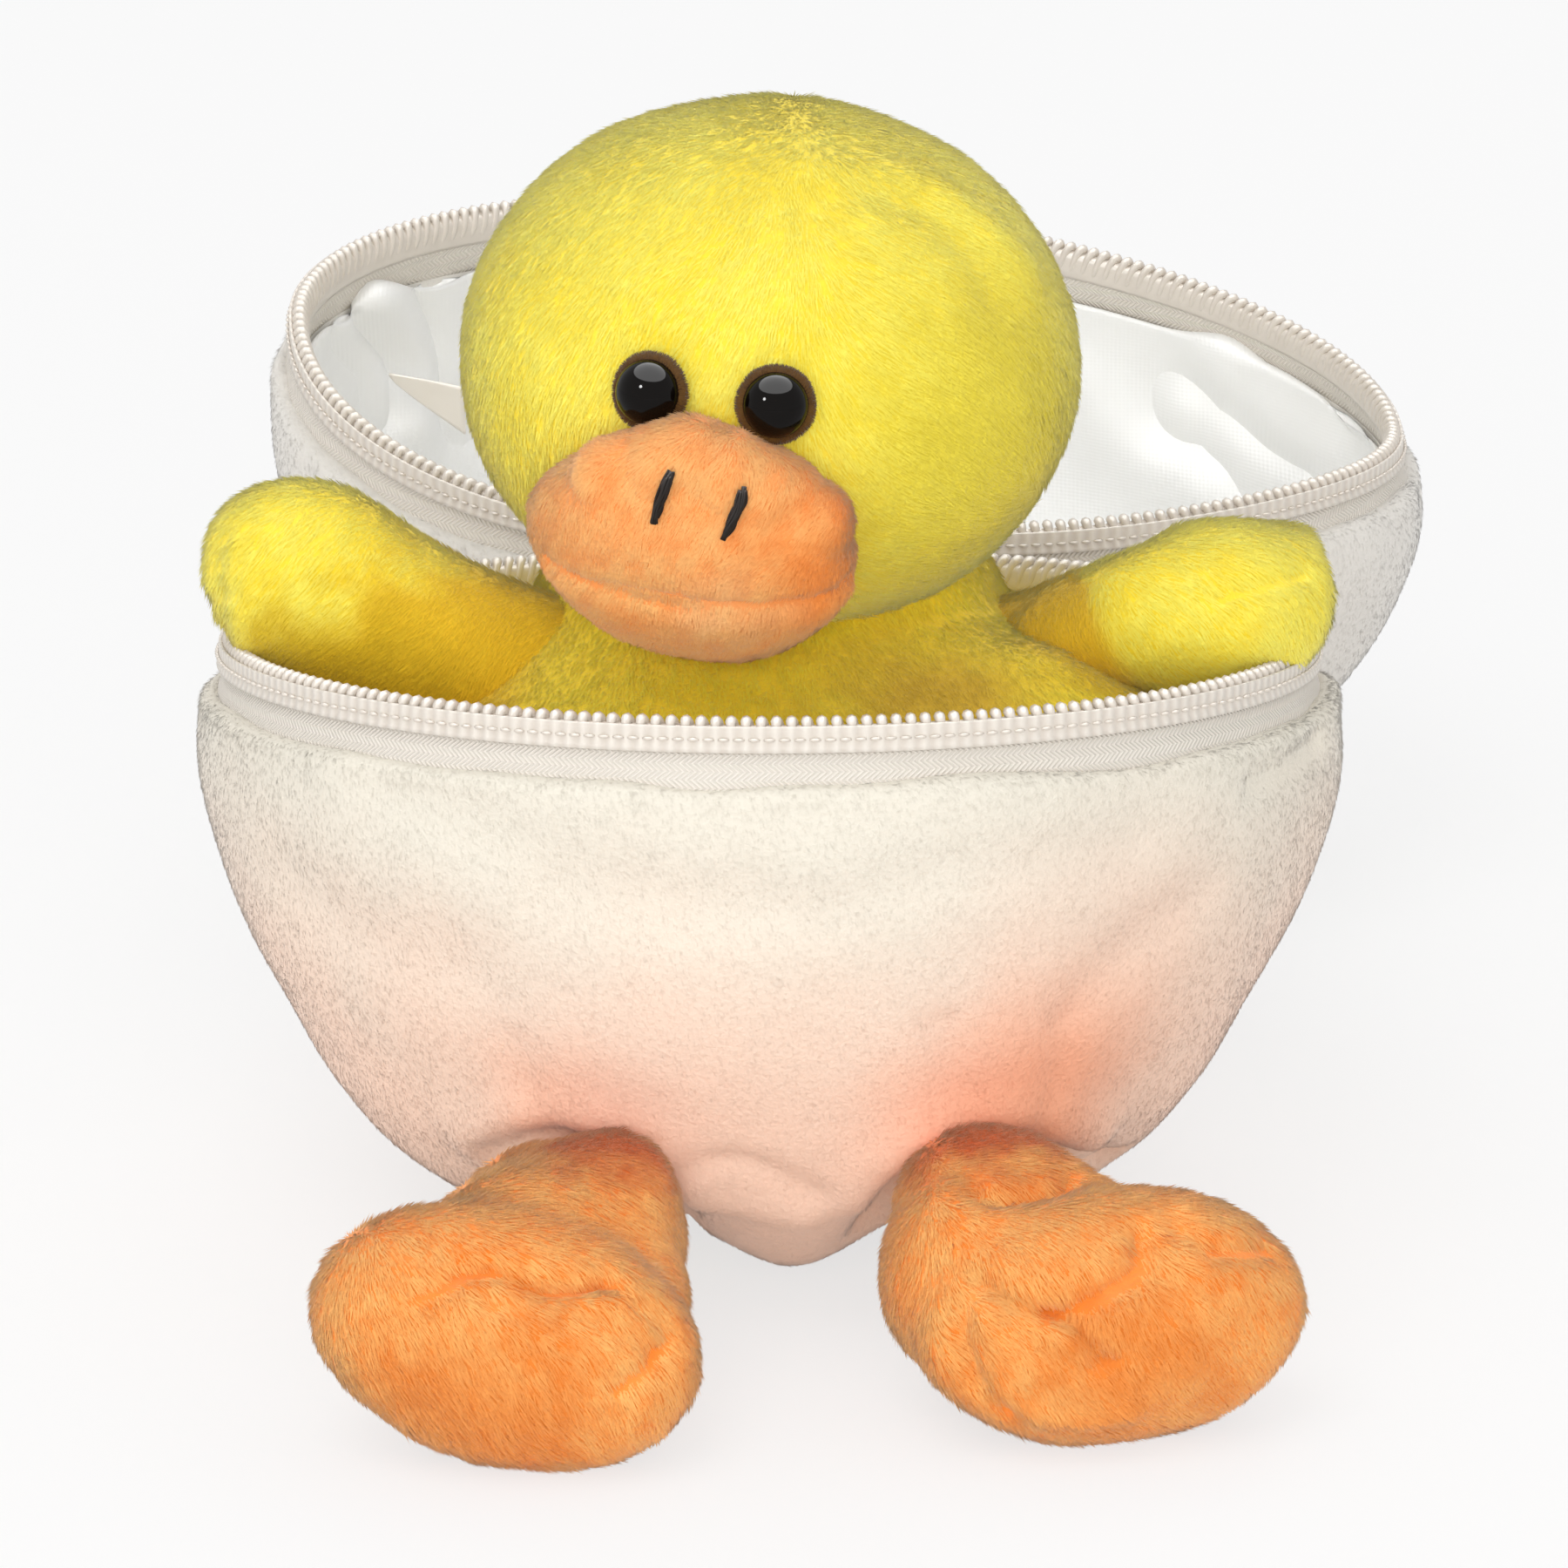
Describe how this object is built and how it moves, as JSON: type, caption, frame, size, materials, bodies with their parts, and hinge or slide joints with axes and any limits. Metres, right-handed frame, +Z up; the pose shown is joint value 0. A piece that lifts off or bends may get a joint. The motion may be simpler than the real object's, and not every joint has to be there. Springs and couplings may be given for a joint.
{
  "type": "plush duck in a zip-open egg",
  "caption": "Stuffed duck sitting in a plush egg that unzips round its middle. The egg's upper half lies open behind it as a hinged lid, and its wings rest over the rim.",
  "frame": {"origin": "middle of the flat seat under the egg's lower half, on the table", "axes": "+Z up, -Y the way the duck looks and its feet point, +Y towards the open lid, +X to the right of somebody who faces the duck"},
  "size_m": [0.1366, 0.2376, 0.122],
  "materials": {
    "cream_plush": "short brushed plush",
    "white_plush": "short brushed plush",
    "lining": "smooth woven lining",
    "zip_tape": "woven tape",
    "zip_coil": "nylon coil",
    "slider": "white painted casting",
    "yellow_plush": "short plush",
    "bill_plush": "short plush",
    "foot_plush": "short plush",
    "eye_black": "polished",
    "eye_backing": "brown felt",
    "thread": "satin stitch",
    "plain_plastic": "moulded",
    "label": "satin ribbon, bare"
  },
  "bodies": {
    "egg": {"lower_shell": "cream_plush", "lower_lining": "lining", "lower_zip_tape": "zip_tape", "lower_zip_chain": "zip_coil", "lower_zip_stop": "plain_plastic", "hinge_gusset_lower": "lining", "zip_slider": "slider", "duck_torso": "yellow_plush"},
    "lid": {"lid_shell": "white_plush", "lid_lining": "lining", "lid_zip_tape": "zip_tape", "lid_zip_chain": "zip_coil", "lid_zip_stop": "plain_plastic", "hinge_gusset_lid": "lining", "care_label": "label"},
    "head": {"duck_head": "yellow_plush", "bill_upper": "bill_plush", "bill_lower": "bill_plush", "nostril_left": "thread", "nostril_right": "thread", "eye_left": "eye_black", "eye_right": "eye_black", "eye_left_backing": "eye_backing", "eye_right_backing": "eye_backing", "eye_left_washer": "plain_plastic", "eye_right_washer": "plain_plastic"},
    "left_wing": {"wing_left": "yellow_plush"},
    "right_wing": {"wing_right": "yellow_plush"},
    "left_foot": {"leg_left": "foot_plush", "foot_left": "foot_plush"},
    "right_foot": {"leg_right": "foot_plush", "foot_right": "foot_plush"},
    "pull": {"zip_pull": "slider"}
  },
  "joints": [
    {"name": "lid_hinge", "type": "hinge", "parent": "egg", "child": "lid", "pos_m": [0.0025, 0.05676, 0.05206], "axis": [1, 0, 0], "range_deg": [0, 110]},
    {"name": "head_turn", "type": "hinge", "parent": "egg", "child": "head", "pos_m": [0, -0.008, 0.095], "axis": [0, 0, 1], "range_deg": [-12, 12], "stiffness_Nm_per_rad": 0.01},
    {"name": "left_wing_swing", "type": "hinge", "parent": "egg", "child": "left_wing", "pos_m": [-0.033, -0.004, 0.06929], "axis": [-0.1705, 0.9854, 0], "range_deg": [0, 35]},
    {"name": "right_wing_swing", "type": "hinge", "parent": "egg", "child": "right_wing", "pos_m": [0.033, -0.006, 0.06804], "axis": [-0.5579, -0.8299, 0], "range_deg": [0, 35]},
    {"name": "left_foot_swing", "type": "hinge", "parent": "egg", "child": "left_foot", "pos_m": [-0.0168, -0.05401, 0.01864], "axis": [-1, 0, 0], "range_deg": [0, 45]},
    {"name": "right_foot_swing", "type": "hinge", "parent": "egg", "child": "right_foot", "pos_m": [0.02199, -0.05217, 0.01855], "axis": [-1, 0, 0], "range_deg": [0, 45]},
    {"name": "pull_swing", "type": "hinge", "parent": "egg", "child": "pull", "pos_m": [-0.01965, 0.0553, 0.05541], "axis": [0.9825, 0.1862, 0], "range_deg": [-5, 47]}
  ]
}
